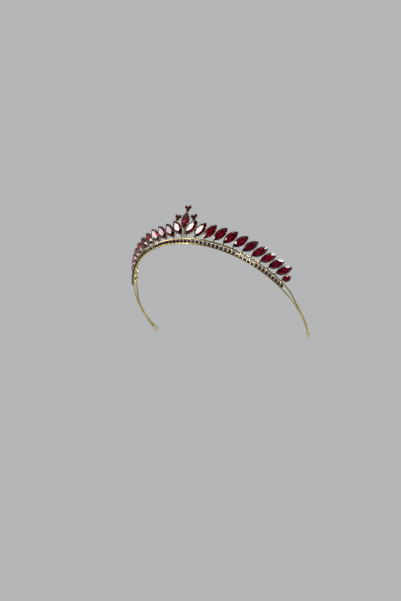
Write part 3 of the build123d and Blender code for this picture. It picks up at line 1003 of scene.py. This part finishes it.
def add_lamp(name, radiance):
    """A rectangular lamp that faces the crown. Its power is its radiance times area times pi."""
    left, rise, distance, width, height = LAMPS[name]
    facing = stage_heading(radians(left), radians(rise)).normalized()
    lamp = bpy.data.lights.new(name, "AREA")
    lamp.shape = "RECTANGLE"
    lamp.size, lamp.size_y = width, height
    lamp.energy = radiance * width * height * pi
    side = camera_axes().col[1].cross(facing).normalized()
    axes = Matrix((side, facing.cross(side), facing)).transposed()
    holder = bpy.data.objects.new(name, lamp)
    holder.matrix_world = Matrix.Translation(front_middle() + facing * distance) @ axes.to_4x4()
    holder.visible_camera = False
    bpy.context.scene.collection.objects.link(holder)


def stage_piece(name, points, faces, material):
    """An object of the stage, which is no piece of the crown."""
    mesh = bpy.data.meshes.new(name)
    mesh.from_pydata(points, [], faces)
    mesh.materials.append(material)
    piece = bpy.data.objects.new(name, mesh)
    bpy.context.scene.collection.objects.link(piece)
    return piece


def add_floor():
    """A pale floor that is seen and lit from above only; from below, light passes through it. Gloss
    doesn't show it, because the lamps in front of the tilted crown stand below it."""
    stage = bpy.context.scene.crown_stage
    material, nodes, links, shader = new_material("floor")
    cloud = mapped(nodes, links, noise(nodes, links, 6.0), 0.0, 1.0)
    light = [min(1.0, channel * 1.02) for channel in stage.floor]
    links.new(mixed(nodes, links, cloud, stage.floor, light), shader.inputs["Base Color"])
    shader.inputs["Roughness"].default_value = 0.9
    clear = nodes.new("ShaderNodeBsdfTransparent")
    which = nodes.new("ShaderNodeNewGeometry")
    choice = nodes.new("ShaderNodeMixShader")
    links.new(which.outputs["Backfacing"], choice.inputs["Fac"])
    links.new(shader.outputs["BSDF"], choice.inputs[1])
    links.new(clear.outputs["BSDF"], choice.inputs[2])
    links.new(choice.outputs["Shader"], nodes["Material Output"].inputs["Surface"])
    rim = outline("oval", 2 * FLOOR_RADIUS, 2 * FLOOR_RADIUS, 0.0, FLOOR_SIDES)
    floor = stage_piece("floor", lifted(rim, 0.0).tolist(), [list(range(FLOOR_SIDES))], material)
    floor.visible_glossy = False


def add_world():
    """Even light from all round, of the backdrop's colour."""
    world = bpy.data.worlds.new("studio")
    world.use_nodes = True
    bpy.context.scene.world = world
    backdrop = bpy.context.scene.crown_stage.backdrop
    world.node_tree.nodes["Background"].inputs["Color"].default_value = (*backdrop, 1)


def add_flag():
    """A black card behind the camera, which shows only in gloss and glass: a patch of a sphere
    round the crown."""
    lefts = np.radians(np.linspace(*FLAG_LEFT, FLAG_POINTS))
    rises = np.radians(np.linspace(*FLAG_RISE, FLAG_POINTS))
    points = [front_middle() + stage_heading(left, rise) * FLAG_RADIUS
              for left in lefts for rise in rises]
    first = np.arange(FLAG_POINTS ** 2).reshape(FLAG_POINTS, FLAG_POINTS)[:-1, :-1].ravel()
    faces = np.stack((first, first + FLAG_POINTS, first + FLAG_POINTS + 1, first + 1), axis=-1)
    material, _, _, shader = new_material("flag")
    shader.inputs["Base Color"].default_value = (0.01, 0.01, 0.01, 1)
    shader.inputs["Roughness"].default_value = 0.9
    stage_piece("flag", points, faces.tolist(), material).visible_camera = False


class CROWN_OT_stage(Operator):
    """Sets the camera, the lamps, the floor and the backdrop"""
    bl_idname = "crown.stage"
    bl_label = "Stage"

    def execute(self, context):
        context.scene.view_settings.view_transform = "Standard"
        add_camera()
        stage = context.scene.crown_stage
        for name in LAMPS:
            add_lamp(name, getattr(stage, name))
        add_floor()
        add_world()
        add_flag()
        return {"FINISHED"}


OPERATORS = (CROWN_OT_band, CROWN_OT_fittings, CROWN_OT_large_stones, CROWN_OT_large_settings,
             CROWN_OT_cup_chain, CROWN_OT_trefoils, CROWN_OT_stage)


class CROWN_PT_sidebar(Panel):
    """Lists the crown's pieces"""
    bl_idname = "CROWN_PT_sidebar"
    bl_label = "Hair-Band Crown"
    bl_space_type = "VIEW_3D"
    bl_region_type = "UI"
    bl_category = "Crown"

    def draw(self, context):
        for operator in OPERATORS:
            self.layout.operator(operator.bl_idname)


GROUPS = {"crown_band": CrownBand, "crown_stones": CrownStones, "crown_settings": CrownSettings,
          "crown_finish": CrownFinish, "crown_stage": CrownStage}
CLASSES = (*GROUPS.values(), *OPERATORS, CROWN_PT_sidebar)


def register():
    for item in CLASSES:
        bpy.utils.register_class(item)
    for name, group in GROUPS.items():
        setattr(bpy.types.Scene, name, PointerProperty(type=group))


def unregister():
    for name in GROUPS:
        delattr(bpy.types.Scene, name)
    for item in reversed(CLASSES):
        bpy.utils.unregister_class(item)


def main():
    register()
    bpy.ops.crown.band()
    bpy.ops.crown.fittings()
    bpy.ops.crown.large_stones()
    bpy.ops.crown.large_settings()
    bpy.ops.crown.cup_chain()
    bpy.ops.crown.trefoils()
    bpy.ops.crown.stage()


if __name__ == "__main__":
    main()
